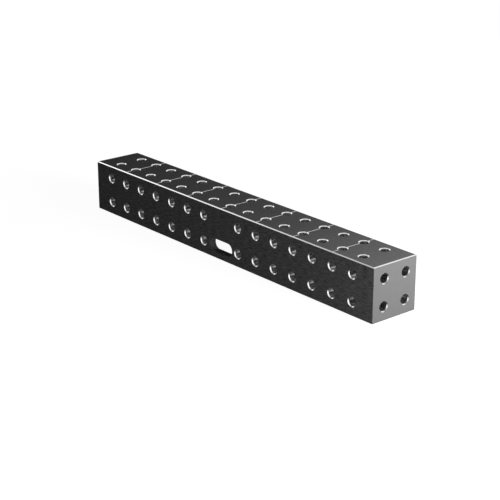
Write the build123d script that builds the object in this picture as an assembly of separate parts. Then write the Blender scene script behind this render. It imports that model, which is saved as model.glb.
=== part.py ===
"""Square extension block for a welding table with a 16 mm hole system.

A long box, open underneath, with one thick wall along the top, the two sides and the two ends.
Every outer face carries two rows of countersunk system holes on a square grid, and shallow
scored lines cross the top at every second column. The side walls leave out their middle column of holes,
and a plain obround hand slot goes through both of them there.

Millimetres. X runs along the block, Y from the front side to the back, and Z up.
The origin is the middle of the underside.
"""

import os
from math import floor

from build123d import *

# Body
length = 800.0
width = 100.0
height = 100.0
side_wall = 15.0
end_wall = 15.0
top_wall = 15.0
top_chamfer = 1.5  # along the four edges of the top
corner_radius = 1.5  # every inside corner of the hollow
rim_chamfer = 1.0  # inside edge of the open underside

# System holes
hole_diameter = 16.0
mouth_width = 2.0  # the bevelled ring round each hole, measured across the face
mouth_angle = 120.0  # between the two sides of the bevel
column_pitch = 50.0
row_pitch = 50.0
end_margin = 50.0  # the least distance from an end face to a column
drill_overrun = 1.0  # how far a drill goes on past its wall

# Scored lines
lines_per_pitch = 2  # one line at every second column
line_width = 1.2
line_depth = 0.6

# Hand slots
slot_height = 25.0
slot_lift = 12.0  # from the underside to the slot's lower edge
slot_web = 7.0  # metal between the slot and the mouths of the holes beside it
slot_chamfer = 0.5

hole_radius = hole_diameter / 2
mouth_radius = hole_radius + mouth_width
slot_length = 2 * (column_pitch - mouth_radius - slot_web)

# The outer faces, each plane with its normal pointing out and its Y axis up the face
top_face = Plane(origin=(0, 0, height), x_dir=(1, 0, 0), z_dir=(0, 0, 1))
front_face = Plane(origin=(0, -width / 2, height / 2), x_dir=(1, 0, 0), z_dir=(0, -1, 0))
back_face = Plane(origin=(0, width / 2, height / 2), x_dir=(-1, 0, 0), z_dir=(0, 1, 0))
left_face = Plane(origin=(-length / 2, 0, height / 2), x_dir=(0, -1, 0), z_dir=(-1, 0, 0))
right_face = Plane(origin=(length / 2, 0, height / 2), x_dir=(0, 1, 0), z_dir=(1, 0, 0))


def column_places():
    """X of every column of holes, spaced out from the middle of the block."""
    each_side = floor((length / 2 - end_margin) / column_pitch)
    return [column_pitch * step for step in range(-each_side, each_side + 1)]


def row_places():
    """The two rows of a face, either side of its middle line."""
    return [-row_pitch / 2, row_pitch / 2]


def make_hollow():
    """The space inside: open at the underside, with every other corner rounded."""
    floor_plan = RectangleRounded(length - 2 * end_wall, width - 2 * side_wall, corner_radius)
    hollow = extrude(floor_plan, height - top_wall)
    ceiling = hollow.faces().sort_by(Axis.Z)[-1]
    return fillet(ceiling.edges(), corner_radius)


def make_shell():
    """The bare box: chamfered round its top, hollowed from below, with its rim broken."""
    box = Box(length, width, height, align=(Align.CENTER, Align.CENTER, Align.MIN))
    top_edges = box.edges().group_by(Axis.Z)[-1]
    shell = chamfer(top_edges, top_chamfer) - make_hollow()
    rim = shell.faces().sort_by(Axis.Z)[0].inner_wires()[0]
    return chamfer(rim.edges(), rim_chamfer)


def cut_hand_slots(shell):
    """One slot through both side walls, chamfered where it comes out of each."""
    outline = Pos(0, slot_lift + slot_height / 2) * SlotOverall(slot_length, slot_height)
    shell = shell - extrude(Plane.XZ * outline, width, both=True)
    outer_sides = shell.faces().filter_by(Axis.Y).sort_by(Axis.Y)
    mouths = [outer_sides[end].inner_wires()[0] for end in (0, -1)]
    return chamfer([edge for mouth in mouths for edge in mouth.edges()], slot_chamfer)


def drilled(face, columns, wall):
    """Countersunk holes into one face, in both rows of every given column, through its wall."""
    drill = CounterSinkHole(hole_radius, mouth_radius, wall + drill_overrun, mouth_angle)
    return [face * Pos(x, y) * drill for x in columns for y in row_places()]


def system_holes():
    """All the holes of the grid, face by face."""
    columns = column_places()
    side_columns = [x for x in columns if x != 0]
    holes = drilled(top_face, columns, top_wall)
    for face in (front_face, back_face):
        holes += drilled(face, side_columns, side_wall)
    for face in (left_face, right_face):
        holes += drilled(face, row_places(), end_wall)
    return holes


def scored_lines():
    """A shallow V across the top at every second column, counted from the middle one."""
    notch = Polygon((-line_width / 2, 0), (0, -line_depth), (line_width / 2, 0), align=None)
    columns = column_places()
    middle = len(columns) // 2
    across = Plane.XZ.offset(-width / 2)
    return [
        extrude(across * Pos(x, height) * notch, width)
        for index, x in enumerate(columns)
        if (index - middle) % lines_per_pitch == 0
    ]


def make_block():
    """The finished block, as one solid."""
    block = cut_hand_slots(make_shell())
    block = block - system_holes()
    return block - scored_lines()


os.makedirs("parts", exist_ok=True)
block = make_block()
block.label = "block"
export_step(block, "parts/block.step")
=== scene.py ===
from math import radians

import bmesh
import bpy
import numpy as np
from mathutils import Matrix, Vector


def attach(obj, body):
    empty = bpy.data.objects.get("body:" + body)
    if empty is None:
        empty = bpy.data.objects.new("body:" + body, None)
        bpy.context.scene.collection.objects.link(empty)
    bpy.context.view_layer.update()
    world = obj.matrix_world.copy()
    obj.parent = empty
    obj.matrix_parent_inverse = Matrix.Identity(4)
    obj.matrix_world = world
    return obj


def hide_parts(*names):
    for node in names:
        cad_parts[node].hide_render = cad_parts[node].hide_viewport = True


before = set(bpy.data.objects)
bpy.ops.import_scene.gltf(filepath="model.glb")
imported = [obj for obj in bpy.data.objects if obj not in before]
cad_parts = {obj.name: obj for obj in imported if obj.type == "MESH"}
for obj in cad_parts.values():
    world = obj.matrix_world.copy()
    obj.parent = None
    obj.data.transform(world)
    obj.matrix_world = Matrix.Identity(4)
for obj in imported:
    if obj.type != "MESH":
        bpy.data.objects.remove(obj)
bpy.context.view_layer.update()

# The block, in millimetres, in the frame of the CAD part: X along it, Z up, origin under its middle
block = {
    "length": 800.0,
    "width": 100.0,
    "height": 100.0,
    "wall": 15.0,
    "topChamfer": 1.5,
    "insideRadius": 1.5,
    "rimChamfer": 1.0,
    "holePitch": 50.0,
    "holeColumns": 15,
    "holeRow": 25.0,  # from a face's middle line to each row
    "boreRadius": 8.0,
    "mouthRadius": 10.0,
    "sinkAngle": 120.0,  # of the mouth's cone, between its two sides
    "lineHalfWidth": 0.6,  # of the scored lines across the top
    "lineDepth": 0.6,
    "slotLength": 66.0,
    "slotHeight": 25.0,
    "slotLift": 12.0,  # from the foot to the slot
    "slotChamfer": 0.5,
    "slotField": 37.25,  # half the plain field about the slot, out to the next holes
    "ringSteps": 8,  # from the edge of a scored line to the corner of a hole's square
    "filletSteps": 4,
    "slotStraightSteps": 3,  # of ringSteps + 1, the rest go round the bend
    "weldGap": 0.002,
    "smoothAngle": 30.0,  # a sharper turn than this keeps a crisp edge
}
toMetres = 0.001

halfLength = block["length"] / 2
halfWidth = block["width"] / 2
height = block["height"]
wall = block["wall"]
lineHalf = block["lineHalfWidth"]
lineDepth = block["lineDepth"]
mouthRadius = block["mouthRadius"]
sinkSlope = 1 / np.tan(radians(block["sinkAngle"] / 2))  # depth for each step in
sinkDepth = (mouthRadius - block["boreRadius"]) * sinkSlope

# The finishes, in the order of the piece's material slots
sideGround, topGround, endMilled, slotWithPaintedLight, bright, bore, inside = range(7)

# A hole sits in a square whose sides are walked in whole steps: 0 at the hole's own line, 1 at the edge
# of a scored line, cornerStep at the corner
cornerStep = block["ringSteps"] + 1
sideSteps = np.arange(-cornerStep, cornerStep + 1)
climb = sideSteps[:-1]
corner = np.full(climb.shape, cornerStep)
loopU = np.concatenate([corner, -climb, -corner, climb, corner[:1]])
loopV = np.concatenate([climb, corner, -climb, -corner, climb[:1]])


# A place on a side: even steps from lineHalf off the centre out to the side's low or high end
def place(centre, low, high, step):
    reach = np.where(step < 0, centre - low, high - centre)
    off = lineHalf + (reach - lineHalf) * (np.abs(step) - 1) / (cornerStep - 1)
    return centre + np.sign(step) * off


# The angle of a step on the mouth circle: even steps from the line's edge to the 45 degree corner
def turn(step):
    lineAngle = np.arcsin(lineHalf / mouthRadius)
    return np.sign(step) * (lineAngle + (np.pi / 4 - lineAngle) * (np.abs(step) - 1) / (cornerStep - 1))


quarters = np.repeat(np.arange(4) * np.pi / 2, climb.size)
loopAngle = quarters + np.tile(turn(climb), 4)
loopAngle = np.append(loopAngle, loopAngle[0] + 2 * np.pi)

sheets = []


# Keeps a grid of points, rows by columns, or a stack of such grids, with the finish of its faces
def lay(grid, finish):
    grid = grid.reshape(-1, *grid.shape[-3:])
    faces = (grid.shape[0], grid.shape[1] - 1, grid.shape[2] - 1)
    sheets.append((grid, np.broadcast_to(finish, faces)))


# Straight lines from each point of one row to its partner in the next
def ruled(*rows):
    return np.stack(np.broadcast_arrays(*rows), axis=-3)


# A quarter circle from one row to another: centre + (first - centre) cos t + (last - centre) sin t
def rounded(first, last, centre):
    t = np.linspace(0, np.pi / 2, block["filletSteps"] + 1)[:, None, None]
    return centre + (first - centre) * np.cos(t) + (last - centre) * np.sin(t)


# Points from separate coordinates, each a number or an array
def xyz(x, y, z):
    return np.stack(np.broadcast_arrays(*np.atleast_1d(x, y, z)), axis=-1).astype(float)


# The steps of all the cells in a line, end to end, from their centres and the edges between them
def alongCells(centres, edges):
    steps = place(centres[:, None], edges[:-1, None], edges[1:, None], sideSteps)
    return np.append(steps[:, :-1].ravel(), steps[-1, -1])


# A face is its two axes, the way out, and how far out its plane lies. Depth goes in from it.
def onFace(face, u, v, depth):
    axisU, axisV, out, level = face
    u, v, inward = np.broadcast_arrays(u, v, level - np.asarray(depth, float))
    return u[..., None] * axisU + v[..., None] * axisV + inward[..., None] * out


# The edges between the cells of the columns, out to an end
def columnEdges(end):
    between = (columns[:-1] + columns[1:]) / 2
    between[middleColumn - 1], between[middleColumn] = -block["slotField"], block["slotField"]
    return np.concatenate([[-end], between, [end]])


middleColumn = block["holeColumns"] // 2
columns = block["holePitch"] * np.arange(-middleColumn, middleColumn + 1)
lined = (np.arange(block["holeColumns"]) - middleColumn) % 2 == 0
rows = np.array([-block["holeRow"], block["holeRow"]])
heights = height / 2 + rows

insideEnd = halfLength - wall - block["insideRadius"]
insideSide = halfWidth - wall - block["insideRadius"]
insideTop = height - wall - block["insideRadius"]
chamfer = block["topChamfer"]
rim = block["rimChamfer"]

topX = columnEdges(halfLength - chamfer)
sideX = columnEdges(halfLength)
insideX = columnEdges(insideEnd)
topY = np.array([chamfer - halfWidth, 0, halfWidth - chamfer])
endY = np.array([-halfWidth, 0, halfWidth])
insideY = np.array([-insideSide, 0, insideSide])
outsideZ = np.array([0, height / 2, height - chamfer])
insideZ = np.array([rim, height / 2, insideTop])

xAxis, yAxis, zAxis = np.eye(3)
topFace = (xAxis, yAxis, zAxis, height)
sideFaces = [(xAxis, zAxis, sign * yAxis, halfWidth) for sign in (-1, 1)]
endFaces = [(yAxis, zAxis, sign * xAxis, halfLength) for sign in (-1, 1)]


# All the holes of a face with their squares, outside and inside: square, mouth cone, bore, inner square.
# A scored line lowers the points on the hole's own line, on the square and on the mouth cone.
def drilledWall(face, finish, cu, cv, outerU, outerV, innerU, innerV, chosen, scored):
    iu, iv = [index.ravel() for index in np.meshgrid(np.arange(cu.size), np.arange(cv.size), indexing="ij")]
    iu, iv = iu[chosen[iu]], iv[chosen[iu]]
    u, v = cu[iu, None], cv[iv, None]
    cut = lineDepth * (scored[iu, None] & (loopU == 0))

    squareU = place(u, outerU[iu, None], outerU[iu + 1, None], loopU)
    squareV = place(v, outerV[iv, None], outerV[iv + 1, None], loopV)
    ontoChamfer = np.isclose(np.abs(squareV), halfWidth - chamfer)
    square = onFace(face, squareU, squareV + cut * ontoChamfer * np.sign(squareV), cut)

    def ring(radius, depth):
        return onFace(face, u + radius * np.cos(loopAngle), v + radius * np.sin(loopAngle), depth)

    mouth = ring(mouthRadius - cut / sinkSlope, cut)
    neck = ring(block["boreRadius"], sinkDepth)
    back = ring(block["boreRadius"], wall)
    backU = place(u, innerU[iu, None], innerU[iu + 1, None], loopU)
    backV = place(v, innerV[iv, None], innerV[iv + 1, None], loopV)

    onLine = np.maximum(np.abs(loopU[:-1]), np.abs(loopU[1:])) <= 1
    lay(ruled(square, mouth), np.where(scored[iu, None] & onLine, bright, finish)[:, None, :])
    lay(ruled(mouth, neck), bright)
    lay(ruled(neck, back), bore)
    lay(ruled(back, onFace(face, backU, backV, wall)), inside)


# The plain field in the middle of a side, and the obround slot below it.
# The slot's outline follows the same steps as a square: an arc beside each end, then a straight run.
def slottedWall(face):
    field = block["slotField"]
    fieldU = place(0.0, -field, field, sideSteps)
    upperOut = place(heights[1], outsideZ[1], outsideZ[2], sideSteps)
    upperIn = place(heights[1], insideZ[1], insideZ[2], sideSteps)
    lay(onFace(face, fieldU, upperOut[:, None], 0), sideGround)
    lay(onFace(face, fieldU, upperIn[:, None], wall), inside)

    middle = block["slotLift"] + block["slotHeight"] / 2
    straight = (block["slotLength"] - block["slotHeight"]) / 2
    straightSteps = block["slotStraightSteps"]
    count = np.abs(loopU)
    bend = np.pi / 4 * np.clip((count - straightSteps) / (cornerStep - straightSteps), 0, 1)
    atEnds = count == cornerStep

    def outline(grow, depth):
        radius = block["slotHeight"] / 2 + grow
        endU, endV = radius * np.cos(turn(loopV)), radius * np.sin(turn(loopV))
        runU = straight * np.minimum(count / straightSteps, 1)
        u = np.where(atEnds, straight + endU, runU + radius * np.sin(bend)) * np.sign(loopU)
        v = np.where(atEnds, endV, radius * np.cos(bend) * np.sign(loopV))
        return onFace(face, u, middle + v, depth)

    lowerU = place(0.0, -field, field, loopU)
    outer = onFace(face, lowerU, place(heights[0], outsideZ[0], outsideZ[1], loopV), 0)
    inner = onFace(face, lowerU, place(heights[0], insideZ[0], insideZ[1], loopV), wall)
    edge = block["slotChamfer"]
    mouth, neck, back = outline(edge, 0), outline(0, edge), outline(0, wall)
    lay(ruled(outer, mouth, neck), sideGround)
    # The slot's walls: the same grain with a lighter tone, which is painted light for the lamp light that
    # hardly reaches them
    lay(ruled(neck, back), slotWithPaintedLight)
    lay(ruled(back, inner), inside)


everyColumn = np.ones(columns.size, bool)
bothRows = np.ones(rows.size, bool)
noLines = np.zeros(columns.size, bool)
drilledWall(topFace, topGround, columns, rows, topX, topY, insideX, insideY, everyColumn, lined)
for face in sideFaces:
    drilledWall(face, sideGround, columns, heights, sideX, outsideZ, insideX, insideZ, columns != 0, noLines)
    slottedWall(face)
for face in endFaces:
    drilledWall(face, endMilled, rows, heights, endY, outsideZ, insideY, insideZ, bothRows, noLines[:2])
print("walls: %d stacks of patches" % len(sheets))

# The strips between the walls, each between two rows of the same steps
alongTop, alongSide, alongInside = [alongCells(columns, edges) for edges in (topX, sideX, insideX)]
acrossTop, acrossEnd, acrossInside = [alongCells(rows, edges) for edges in (topY, endY, insideY)]
upInside = alongCells(heights, insideZ)
cutAlong = np.append(np.outer(lined, climb == 0).ravel(), False) * lineDepth

for sign in (-1, 1):
    side, sideIn = sign * halfWidth, sign * (halfWidth - wall)
    end, endIn = sign * halfLength, sign * (halfLength - wall)
    lay(ruled(xyz(alongTop, side - sign * (chamfer - cutAlong), height - cutAlong),
              xyz(alongSide, side, height - chamfer)), bright)
    lay(ruled(xyz(end - sign * chamfer, acrossTop, height), xyz(end, acrossEnd, height - chamfer)), bright)
    lay(ruled(xyz(alongSide, side, 0), xyz(alongInside, sideIn + sign * rim, 0)), sideGround)
    lay(ruled(xyz(end, acrossEnd, 0), xyz(endIn + sign * rim, acrossInside, 0)), sideGround)
    lay(ruled(xyz(alongInside, sideIn + sign * rim, 0), xyz(alongInside, sideIn, rim)), bright)
    lay(ruled(xyz(endIn + sign * rim, acrossInside, 0), xyz(endIn, acrossInside, rim)), bright)
    lay(rounded(xyz(alongInside, sideIn, insideTop), xyz(alongInside, sign * insideSide, height - wall),
                xyz(alongInside, sign * insideSide, insideTop)), inside)
    lay(rounded(xyz(endIn, acrossInside, insideTop), xyz(sign * insideEnd, acrossInside, height - wall),
                xyz(sign * insideEnd, acrossInside, insideTop)), inside)

# The four inside corners: a quarter circle carried down each one, flared at the rim, and closed
# by an eighth of a ball
quarter = np.linspace(0, np.pi / 2, block["filletSteps"] + 1)
inRadius = block["insideRadius"]


# A level quarter circle about one inside corner
def cornerArc(signX, signY, radius, z):
    x = signX * (insideEnd + radius * np.cos(quarter))
    y = signY * (insideSide + radius * np.sin(quarter))
    return xyz(x, y, z)


for signs in ((-1, -1), (-1, 1), (1, -1), (1, 1)):
    below, above = [cornerArc(*signs, 0, z) for z in (insideTop, height - wall)]
    outermost = xyz(signs[0] * halfLength, signs[1] * halfWidth, 0)
    lay(ruled(*[cornerArc(*signs, inRadius, z) for z in upInside]), inside)
    lay(ruled(cornerArc(*signs, inRadius + rim, 0), cornerArc(*signs, inRadius, rim)), bright)
    lay(ruled(outermost, cornerArc(*signs, inRadius + rim, 0)), sideGround)
    lay(rounded(cornerArc(*signs, inRadius, insideTop), above, below), inside)
print("strips and corners: %d stacks with the walls" % len(sheets))


# One mesh from all the sheets. Its map holds the metres run along and across each sheet, so a bore's own
# depth and girth. Points that meet are welded, which closes the seams and turns the fans into triangles.
def weldedPiece(name, materials):
    points, quads, finishes, runs = [], [], [], []
    start = 0
    for grid, finish in sheets:
        index = start + np.arange(grid[..., 0].size).reshape(grid.shape[:3])
        corners = [index[:, :-1, :-1], index[:, :-1, 1:], index[:, 1:, 1:], index[:, 1:, :-1]]
        quads.append(np.stack(corners, axis=-1).reshape(-1, 4))
        run = np.zeros((*grid.shape[:3], 2))
        run[:, :, 1:, 0] = np.cumsum(np.linalg.norm(np.diff(grid, axis=2), axis=-1), axis=2)
        run[:, 1:, :, 1] = np.cumsum(np.linalg.norm(np.diff(grid, axis=1), axis=-1), axis=1)
        points.append(grid.reshape(-1, 3))
        runs.append(run.reshape(-1, 2))
        finishes.append(finish.ravel())
        start += index.size
    points, quads, finishes, runs = [np.concatenate(part) for part in (points, quads, finishes, runs)]

    mesh = bpy.data.meshes.new(name)
    mesh.vertices.add(len(points))
    mesh.vertices.foreach_set("co", (points * toMetres).ravel())
    mesh.loops.add(quads.size)
    mesh.loops.foreach_set("vertex_index", quads.ravel())
    mesh.polygons.add(len(quads))
    mesh.polygons.foreach_set("loop_start", np.arange(0, quads.size, 4))
    mesh.polygons.foreach_set("material_index", finishes)
    mesh.update(calc_edges=True)
    layer = mesh.uv_layers.new(name="run")
    layer.uv.foreach_set("vector", (runs[quads.ravel()] * toMetres).ravel())
    for material in materials:
        mesh.materials.append(material)

    welded = bmesh.new()
    welded.from_mesh(mesh)
    bmesh.ops.remove_doubles(welded, verts=welded.verts, dist=block["weldGap"] * toMetres)
    bmesh.ops.recalc_face_normals(welded, faces=welded.faces)
    openEdges = sum(not edge.is_manifold for edge in welded.edges)
    volume = welded.calc_volume(signed=True)
    welded.to_mesh(mesh)
    welded.free()
    mesh.polygons.foreach_set("use_smooth", np.ones(len(mesh.polygons), bool))
    mesh.set_sharp_from_angle(angle=radians(block["smoothAngle"]))
    piece = bpy.data.objects.new(name, mesh)
    bpy.context.collection.objects.link(piece)
    print("%s: %d faces, %d open edges, %.1f cm3" % (name, len(mesh.polygons), openEdges, volume * 1e6))
    return piece


# A node with its inputs set: a socket is linked, anything else is the input's own value
def addNode(tree, kind, inputs=None, **settings):
    node = tree.nodes.new(kind)
    for key, value in settings.items():
        setattr(node, key, value)
    for key, value in (inputs or {}).items():
        if isinstance(value, bpy.types.NodeSocket):
            tree.links.new(value, node.inputs[key])
        else:
            node.inputs[key].default_value = value
    return node


# The empty node tree of a new material or world
def emptyTree(owner):
    owner.use_nodes = True
    owner.node_tree.nodes.clear()
    return owner.node_tree


# One step of arithmetic on its inputs, each a socket or a number
def compute(tree, operation, *inputs):
    return addNode(tree, "ShaderNodeMath", dict(enumerate(inputs)), operation=operation).outputs["Value"]


# The factor's run from low to high, turned into a run from first to last
def spread(tree, factor, low, high, first, last, style="LINEAR"):
    ends = {"Value": factor, "From Min": low, "From Max": high, "To Min": first, "To Max": last}
    return addNode(tree, "ShaderNodeMapRange", ends, interpolation_type=style).outputs["Result"]


noiseFalloff = 0.6  # the strength of each finer layer of noise, against the one before
noiseReach = (0.3, 0.7)  # nearly all noise lies between these


# Noise with so many lumps to the metre along each axis of the object, or of the piece's map
def noise(tree, lumps, detail, source="Object"):
    coordinates = addNode(tree, "ShaderNodeTexCoord").outputs[source]
    placed = addNode(tree, "ShaderNodeMapping", {"Vector": coordinates, "Scale": lumps}).outputs["Vector"]
    settings = {"Vector": placed, "Scale": 1.0, "Detail": detail, "Roughness": noiseFalloff}
    return addNode(tree, "ShaderNodeTexNoise", settings).outputs["Fac"]


# Noise turned into a run from first to last
def varied(tree, factor, first, last):
    return spread(tree, factor, *noiseReach, first, last)


# Steel from its look, and from a build that gives three sockets: tone, roughness and relief
def steel(name, look, build):
    material = bpy.data.materials.new(name)
    tree = emptyTree(material)
    tone, rough, relief = build(tree, look)
    tint = addNode(tree, "ShaderNodeCombineColor", {"Red": tone, "Green": tone, "Blue": tone})
    bump = {"Height": relief, "Strength": look["reliefStrength"], "Distance": look["reliefDepth"]}
    inputs = {
        "Base Color": tint.outputs["Color"],
        "Roughness": rough,
        "Metallic": look["metallic"],
        "Specular IOR Level": look["shine"],
        "Normal": addNode(tree, "ShaderNodeBump", bump).outputs["Normal"],
    }
    surface = addNode(tree, "ShaderNodeBsdfPrincipled", inputs).outputs["BSDF"]
    addNode(tree, "ShaderNodeOutputMaterial", {"Surface": surface})
    return material


# Nitrided steel, ground or milled first: dark grey, with a short grain and soft blotches. The slot's walls
# are the exception: their tone is raised as painted light.
# Every noise is its lumps to the metre along and across the block, and its detail.
groundLook = {
    "metallic": 0.0,
    "shine": 0.006,
    "blotches": (22.0, 60.0, 60.0),
    "toneDetail": 6.0,
    "rough": (0.5, 0.62),
    "roughNoise": ((30.0, 500.0, 500.0), 4.0),
    "reliefNoise": ((40.0, 900.0, 900.0), 4.0),
    "reliefStrength": 0.15,
    "reliefDepth": 0.0002,
}

# Each kind of face: its tone, its flecks to the metre along and across the block, and how far the flecks
# and the blotches lighten or darken it
grains = {
    "side": {"tone": 0.1, "flecks": (75.0, 700.0, 700.0), "fleck": 0.7, "blotch": 0.06},
    "top": {"tone": 0.1, "flecks": (200.0, 260.0, 260.0), "fleck": 0.14, "blotch": 0.05},
    "end": {"tone": 0.1, "flecks": (260.0, 260.0, 260.0), "fleck": 0.04, "blotch": 0.02},
    # The slot's walls: twice the others' tone, which is painted light standing in for the lamp light that
    # hardly reaches into the slot
    "slot": {"tone": 0.2, "flecks": (260.0, 260.0, 260.0), "fleck": 0.1, "blotch": 0.05},
}


# Tone = the plain tone x (1 + fleck noise) x (1 + blotch noise)
def grainedBuild(tree, look):
    tone = look["tone"]
    for lumps, deep in ((look["flecks"], look["fleck"]), (look["blotches"], look["blotch"])):
        shift = varied(tree, noise(tree, lumps, look["toneDetail"]), 1 - deep, 1 + deep)
        tone = compute(tree, "MULTIPLY", shift, tone)
    rough = varied(tree, noise(tree, *look["roughNoise"]), *look["rough"])
    return tone, rough, noise(tree, *look["reliefNoise"])


# Freshly cut steel of the chamfers, hole mouths and scored lines
brightLook = {
    "metallic": 1.0,
    "shine": 0.5,
    "tone": (0.72, 0.8),
    "toneNoise": ((300.0, 300.0, 300.0), 4.0),
    "rough": (0.13, 0.2),
    "roughNoise": ((200.0, 200.0, 200.0), 3.0),
    "reliefNoise": ((700.0, 700.0, 700.0), 3.0),
    "reliefStrength": 0.05,
    "reliefDepth": 0.0001,
}

# The unground inside, darker and mottled
insideLook = {
    "metallic": 0.0,
    "shine": 0.1,
    "tone": (0.06, 0.1),
    "toneNoise": ((90.0, 90.0, 90.0), 6.0),
    "rough": (0.6, 0.8),
    "roughNoise": ((140.0, 140.0, 140.0), 4.0),
    "reliefNoise": ((400.0, 400.0, 400.0), 5.0),
    "reliefStrength": 0.3,
    "reliefDepth": 0.0003,
}


# Tone, roughness and relief, each from a noise of its own
def mottledBuild(tree, look):
    tone = varied(tree, noise(tree, *look["toneNoise"]), *look["tone"])
    rough = varied(tree, noise(tree, *look["roughNoise"]), *look["rough"])
    return tone, rough, noise(tree, *look["reliefNoise"])


# Bored steel: fine rings round the hole, from the depth on the map
boreLook = {
    "metallic": 1.0,
    "shine": 0.4,
    "tone": (0.6, 0.72),
    "rough": (0.26, 0.36),
    "ringNoise": ((40.0, 2600.0, 1.0), 3.0),
    "reliefStrength": 0.2,
    "reliefDepth": 0.0001,
}


# Tone, roughness and relief, all from the same rings
def ringedBuild(tree, look):
    rings = noise(tree, *look["ringNoise"], "UV")
    return varied(tree, rings, *look["tone"]), varied(tree, rings, *look["rough"]), rings


steels = [
    steel("groundSideSteel", groundLook | grains["side"], grainedBuild),
    steel("groundTopSteel", groundLook | grains["top"], grainedBuild),
    steel("milledEndSteel", groundLook | grains["end"], grainedBuild),
    # The slot's walls, with their tone raised as painted light
    steel("slotSteelPaintedLight", groundLook | grains["slot"], grainedBuild),
    steel("brightCutSteel", brightLook, mottledBuild),
    steel("boredSteel", boreLook, ringedBuild),
    steel("insideSteel", insideLook, mottledBuild),
]
print("steels: %d" % len(steels))
blockBody = weldedPiece("blockBody", steels)
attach(blockBody, "root")
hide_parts("block")

# The room: a pale floor under a plain sky. The camera sees both as white, and reflections see a studio.
room = {
    "floorHalf": 15.0,
    "floorDrop": 0.0003,  # so that it stays clear of the block's foot
    "floorColour": (0.2, 0.2, 0.2, 1.0),
    "floorRough": 0.9,
    "floorLift": (0.955, 1.0),  # beside the block, where its shadow is kept, and far away
    "floorFades": (0.4, 1.0),
    "worldDim": 0.034,
    "sky": 0.6,
    "backLift": 0.5,
    "backFades": (0.1, 0.6),  # how far to the back a reflection points where the lift starts and ends
    "backClimbs": (-0.1, 0.25),  # the same, upwards
    "frontLift": 0.8,
    "frontFades": (-0.6, -0.95),
    "shade": 0.1,  # what is left of the sky straight down, at the block's foot
    "shadeFades": (-0.7, -0.45),
}
white = (1.0, 1.0, 1.0, 1.0)

# Panels and gaps in what reflections see: the way to each, the cosine of the angle at its edge and at its
# core, and its lift, which is below zero where it darkens
panels = {
    "softboxLeft": {"way": (-0.90, -0.08, 0.42), "edge": 0.91, "core": 0.97, "lift": 1.1},
    "litFloor": {"way": (0.55, -0.62, -0.56), "edge": 0.62, "core": 0.86, "lift": 0.4},
    "overhead": {"way": (-0.25, 0.02, 0.96), "edge": 0.92, "core": 0.985, "lift": 0.35},
    "panelLeft": {"way": (-0.90, -0.38, 0.20), "edge": 0.94, "core": 0.99, "lift": 0.45},
    "panelRight": {"way": (0.94, -0.30, -0.05), "edge": 0.95, "core": 0.99, "lift": 0.78},
    "gapFront": {"way": (-0.40, -0.82, 0.41), "edge": 0.93, "core": 0.98, "lift": -0.53},
    "gapRight": {"way": (0.82, 0.27, 0.50), "edge": 0.91, "core": 0.985, "lift": -0.43},
    "gapLeft": {"way": (-0.90, 0.35, 0.22), "edge": 0.94, "core": 0.985, "lift": -0.3},
    "lowFront": {"way": (0.10, -0.83, -0.55), "edge": 0.93, "core": 0.98, "lift": -0.68},
    "lowFrontLeft": {"way": (-0.72, -0.60, -0.34), "edge": 0.80, "core": 0.95, "lift": -0.48},
    "lowRight": {"way": (0.72, -0.16, -0.66), "edge": 0.92, "core": 0.98, "lift": -0.4},
    "lowLeft": {"way": (-0.98, 0.05, -0.15), "edge": 0.82, "core": 0.95, "lift": -0.58},
    "lowBack": {"way": (0.03, 0.99, -0.15), "edge": 0.88, "core": 0.98, "lift": -0.5},
}


# 1 for a ray that shows the background: from the camera, off a glossy surface or through glass
def shownRay(tree):
    rays = addNode(tree, "ShaderNodeLightPath").outputs
    seen = compute(tree, "MAXIMUM", rays["Is Camera Ray"], rays["Is Glossy Ray"])
    return compute(tree, "MAXIMUM", seen, rays["Is Transmission Ray"])


# The floor shows from above only and casts no shadow, so that the underside can be looked at and lit.
# Reflections see the sky in its place.
def makeFloor():
    half = room["floorHalf"]
    drop = -room["floorDrop"]
    mesh = bpy.data.meshes.new("floor")
    corners = [(-half, -half, drop), (half, -half, drop), (half, half, drop), (-half, half, drop)]
    mesh.from_pydata(corners, [], [(0, 1, 2, 3)])
    floor = bpy.data.objects.new("floor", mesh)
    bpy.context.collection.objects.link(floor)
    floor.visible_glossy = False
    floor.visible_shadow = False
    material = bpy.data.materials.new("paleFloor")
    tree = emptyTree(material)
    spot = addNode(tree, "ShaderNodeTexCoord").outputs["Object"]
    away = addNode(tree, "ShaderNodeVectorMath", {0: spot}, operation="LENGTH").outputs["Value"]
    lift = spread(tree, away, *room["floorFades"], *room["floorLift"], "SMOOTHSTEP")
    lift = compute(tree, "MULTIPLY", shownRay(tree), lift)
    matt = addNode(tree, "ShaderNodeBsdfPrincipled", {
        "Base Color": room["floorColour"], "Roughness": room["floorRough"], "Specular IOR Level": 0.0,
        "Emission Color": white, "Emission Strength": lift,
    }).outputs["BSDF"]
    clear = addNode(tree, "ShaderNodeBsdfTransparent").outputs["BSDF"]
    below = addNode(tree, "ShaderNodeNewGeometry").outputs["Backfacing"]
    mix = addNode(tree, "ShaderNodeMixShader", {0: below, 1: matt, 2: clear}).outputs["Shader"]
    addNode(tree, "ShaderNodeOutputMaterial", {"Surface": mix})
    mesh.materials.append(material)


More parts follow.
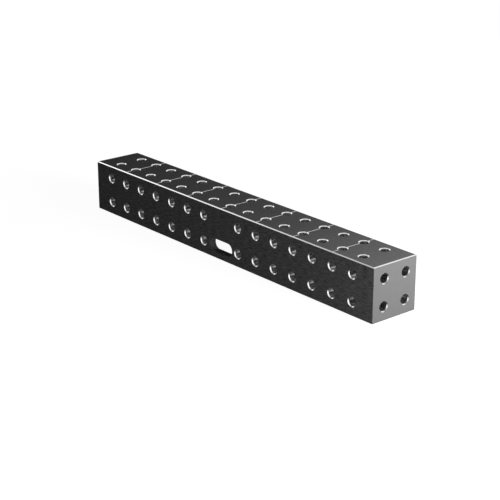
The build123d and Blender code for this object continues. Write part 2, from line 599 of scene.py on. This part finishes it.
# What reflections see: white to the front and high at the back, greyer elsewhere, the panels and gaps, no
# darker than black where gaps meet, and shade straight down. Other rays get only a dim, even light from it.
def makeWorld():
    world = bpy.data.worlds.new("studio")
    bpy.context.scene.world = world
    tree = emptyTree(world)
    way = addNode(tree, "ShaderNodeTexCoord").outputs["Generated"]
    axes = addNode(tree, "ShaderNodeSeparateXYZ", {"Vector": way}).outputs
    back = spread(tree, axes["Y"], *room["backFades"], 0.0, room["backLift"], "SMOOTHSTEP")
    high = spread(tree, axes["Z"], *room["backClimbs"], 0.0, 1.0, "SMOOTHSTEP")
    skyToFront = (room["sky"], room["sky"] + room["frontLift"])
    front = spread(tree, axes["Y"], *room["frontFades"], *skyToFront, "SMOOTHSTEP")
    sky = compute(tree, "ADD", compute(tree, "MULTIPLY", back, high), front)
    for panel in panels.values():
        pair = {0: way, 1: panel["way"]}
        near = addNode(tree, "ShaderNodeVectorMath", pair, operation="DOT_PRODUCT").outputs["Value"]
        lift = spread(tree, near, panel["edge"], panel["core"], 0.0, panel["lift"], "SMOOTHSTEP")
        sky = compute(tree, "ADD", sky, lift)
    sky = compute(tree, "MAXIMUM", sky, 0.0)
    shade = spread(tree, axes["Z"], *room["shadeFades"], room["shade"], 1.0, "SMOOTHSTEP")
    sky = compute(tree, "MULTIPLY", sky, shade)
    camera = addNode(tree, "ShaderNodeLightPath").outputs["Is Camera Ray"]
    shown = spread(tree, camera, 0.0, 1.0, sky, 1.0)
    strength = spread(tree, shownRay(tree), 0.0, 1.0, room["worldDim"], shown)
    background = addNode(tree, "ShaderNodeBackground", {"Color": white, "Strength": strength})
    addNode(tree, "ShaderNodeOutputWorld", {"Surface": background.outputs["Background"]})


# A lamp or camera at its place, turned to face a point
def pointed(name, kind, at, faces):
    holder = bpy.data.objects.new(name, kind)
    bpy.context.collection.objects.link(holder)
    aim = Vector(faces) - Vector(at)
    holder.matrix_world = Matrix.Translation(at) @ aim.to_track_quat("-Z", "Y").to_matrix().to_4x4()
    return holder


makeFloor()
makeWorld()

# Softboxes: place, the point each faces, width and height, and watts
lamps = {
    "keyRight": {"at": (0.95, 0.15, 0.36), "faces": (0.35, 0.0, 0.06), "size": (0.4, 0.3), "power": 13.1},
    "fillFront": {"at": (0.9, -1.8, 0.12), "faces": (0.0, 0.0, 0.05), "size": (0.6, 0.2), "power": 6.2},
    "fillFoot": {"at": (0.84, -0.25, 0.08), "faces": (0.4, -0.05, 0.05), "size": (0.3, 0.1), "power": 0.75},
    "fillBack": {"at": (-1.4, 1.6, 0.1), "faces": (0.0, 0.0, 0.05), "size": (0.8, 0.2), "power": 11.0},
    "fillBelow": {"at": (0.0, 0.0, -1.4), "faces": (0.0, 0.0, 0.0), "size": (0.8, 0.3), "power": 10.0},
}
for name, lamp in lamps.items():
    light = bpy.data.lights.new(name, "AREA")
    light.shape = "RECTANGLE"
    light.size, light.size_y = lamp["size"]
    light.energy = lamp["power"]
    pointed(name, light, lamp["at"], lamp["faces"]).visible_glossy = False
print("room: %d lamps" % len(lamps))

# The camera, at the photograph's viewing angle: its place and target in metres, its lens in millimetres
view = {
    "eye": (1.9034, -1.5731, 0.9102),
    "target": (0.0189, 0.0053, 0.0114),
    "lens": 100.66,
    "sensor": 36.0,
}
lens = bpy.data.cameras.new("camera")
lens.lens, lens.sensor_width = view["lens"], view["sensor"]
bpy.context.scene.camera = pointed("camera", lens, view["eye"], view["target"])
bpy.context.scene.view_settings.view_transform = "Standard"
